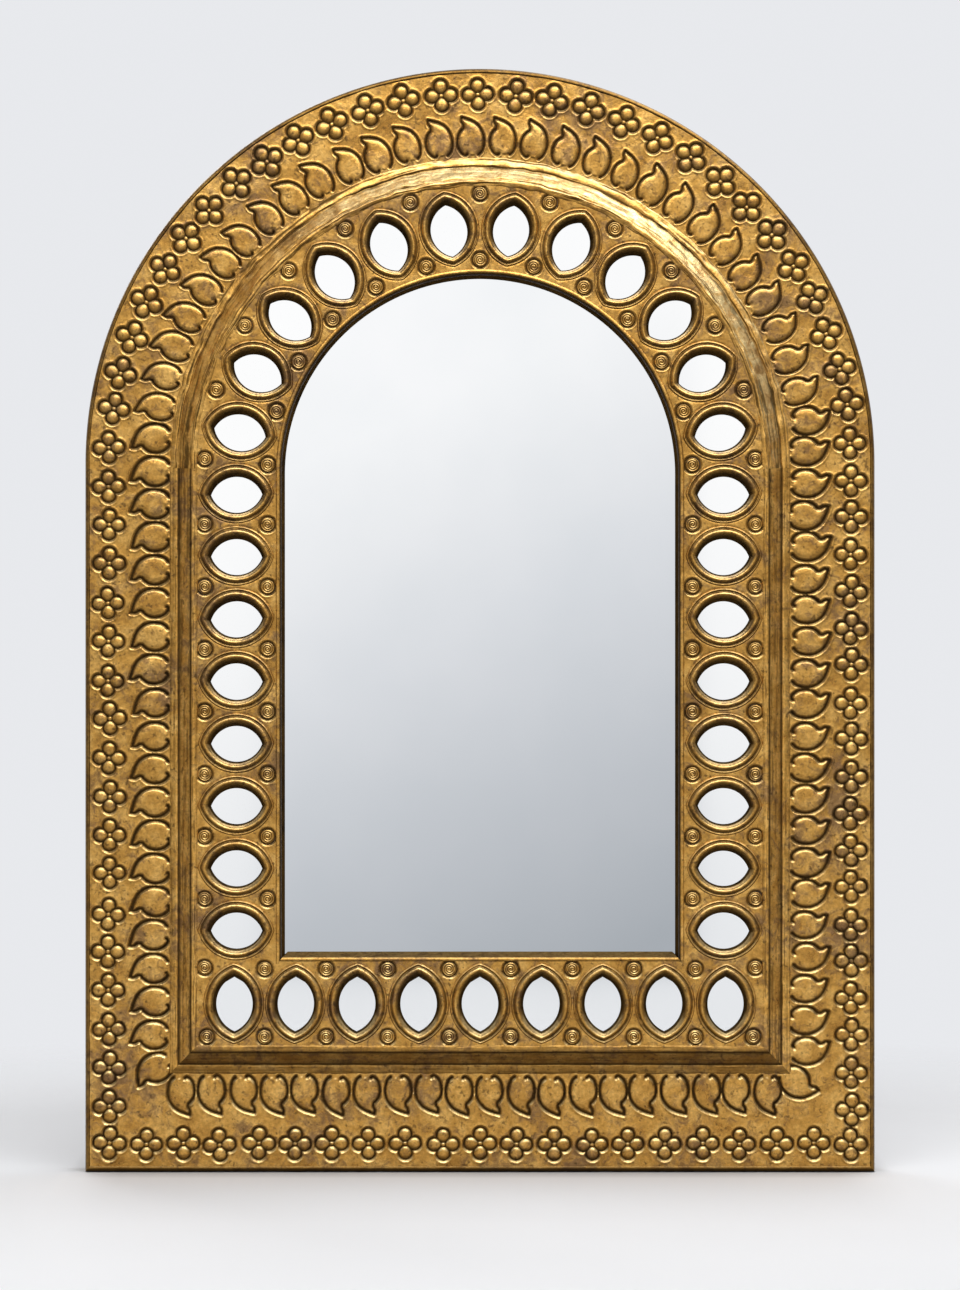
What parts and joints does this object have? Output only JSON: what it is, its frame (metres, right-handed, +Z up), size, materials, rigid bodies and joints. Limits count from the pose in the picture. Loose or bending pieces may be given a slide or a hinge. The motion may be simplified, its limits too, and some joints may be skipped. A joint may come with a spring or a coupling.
{
  "type": "arched mirror",
  "caption": "Arched mirror with a timber frame clad in embossed brass: a flat flange, a bevelled moulding and a raised frieze pierced with almond openings over small inlaid mirrors.",
  "frame": {"origin": "bottom centre of the whole mirror, where it stands on its base edge", "axes": "+Z up along the height, +X to the right as seen from the front, the glass faces -Y"},
  "size_m": [0.64, 0.0478, 0.894],
  "materials": {
    "brass": "hammered and punched, aged, satin",
    "edge_brass": "dark aged edge, satin",
    "timber": "sawn and oiled",
    "pale_timber": "bare",
    "hardboard": "pressed board, matt",
    "mirror": "silvered glass",
    "steel": "zinc plated"
  },
  "bodies": {
    "frame": {"arch_crown": "timber", "arch_left": "timber", "arch_right": "timber", "back_screw_1": "steel", "back_screw_2": "steel", "back_screw_3": "steel", "back_screw_4": "steel", "back_screw_5": "steel", "back_screw_6": "steel", "back_screw_7": "steel", "back_screw_8": "steel", "backing_board": "hardboard", "base_rail": "timber", "edge_strip_base": "edge_brass", "edge_strip_sides": "edge_brass", "flange_sheet": "brass", "frieze_board_arch_crown": "pale_timber", "frieze_board_arch_left": "pale_timber", "frieze_board_arch_right": "pale_timber", "frieze_board_base": "pale_timber", "frieze_board_left": "pale_timber", "frieze_board_right": "pale_timber", "frieze_sheet": "brass", "glass_block_1": "pale_timber", "glass_block_2": "pale_timber", "glass_block_3": "pale_timber", "glass_block_4": "pale_timber", "glass_block_5": "pale_timber", "glass_block_6": "pale_timber", "hanger_screw_left_1": "steel", "hanger_screw_left_2": "steel", "hanger_screw_right_1": "steel", "hanger_screw_right_2": "steel", "hanger_strap_left": "steel", "hanger_strap_right": "steel", "inlay_mirror_arch_crown": "mirror", "inlay_mirror_arch_left": "mirror", "inlay_mirror_arch_right": "mirror", "inlay_mirror_base": "mirror", "inlay_mirror_left": "mirror", "inlay_mirror_right": "mirror", "left_stile": "timber", "mirror_glass": "mirror", "moulding_arch": "brass", "moulding_base": "brass", "moulding_left": "brass", "moulding_right": "brass", "right_stile": "timber", "sight_strip_arch": "brass", "sight_strip_base": "brass", "tongue_arch_left": "pale_timber", "tongue_arch_right": "pale_timber", "tongue_base_left": "pale_timber", "tongue_base_right": "pale_timber", "tongue_spring_left": "pale_timber", "tongue_spring_right": "pale_timber"},
    "left_ring": {"hanger_ring_left": "steel"},
    "right_ring": {"hanger_ring_right": "steel"}
  },
  "joints": [
    {"name": "left_ring_swing", "type": "hinge", "parent": "frame", "child": "left_ring", "pos_m": [-0.254, 0.0207, 0.55998], "axis": [1, 0, 0], "range_deg": [0, 180]},
    {"name": "right_ring_swing", "type": "hinge", "parent": "frame", "child": "right_ring", "pos_m": [0.254, 0.0207, 0.55998], "axis": [1, 0, 0], "range_deg": [0, 180]}
  ]
}
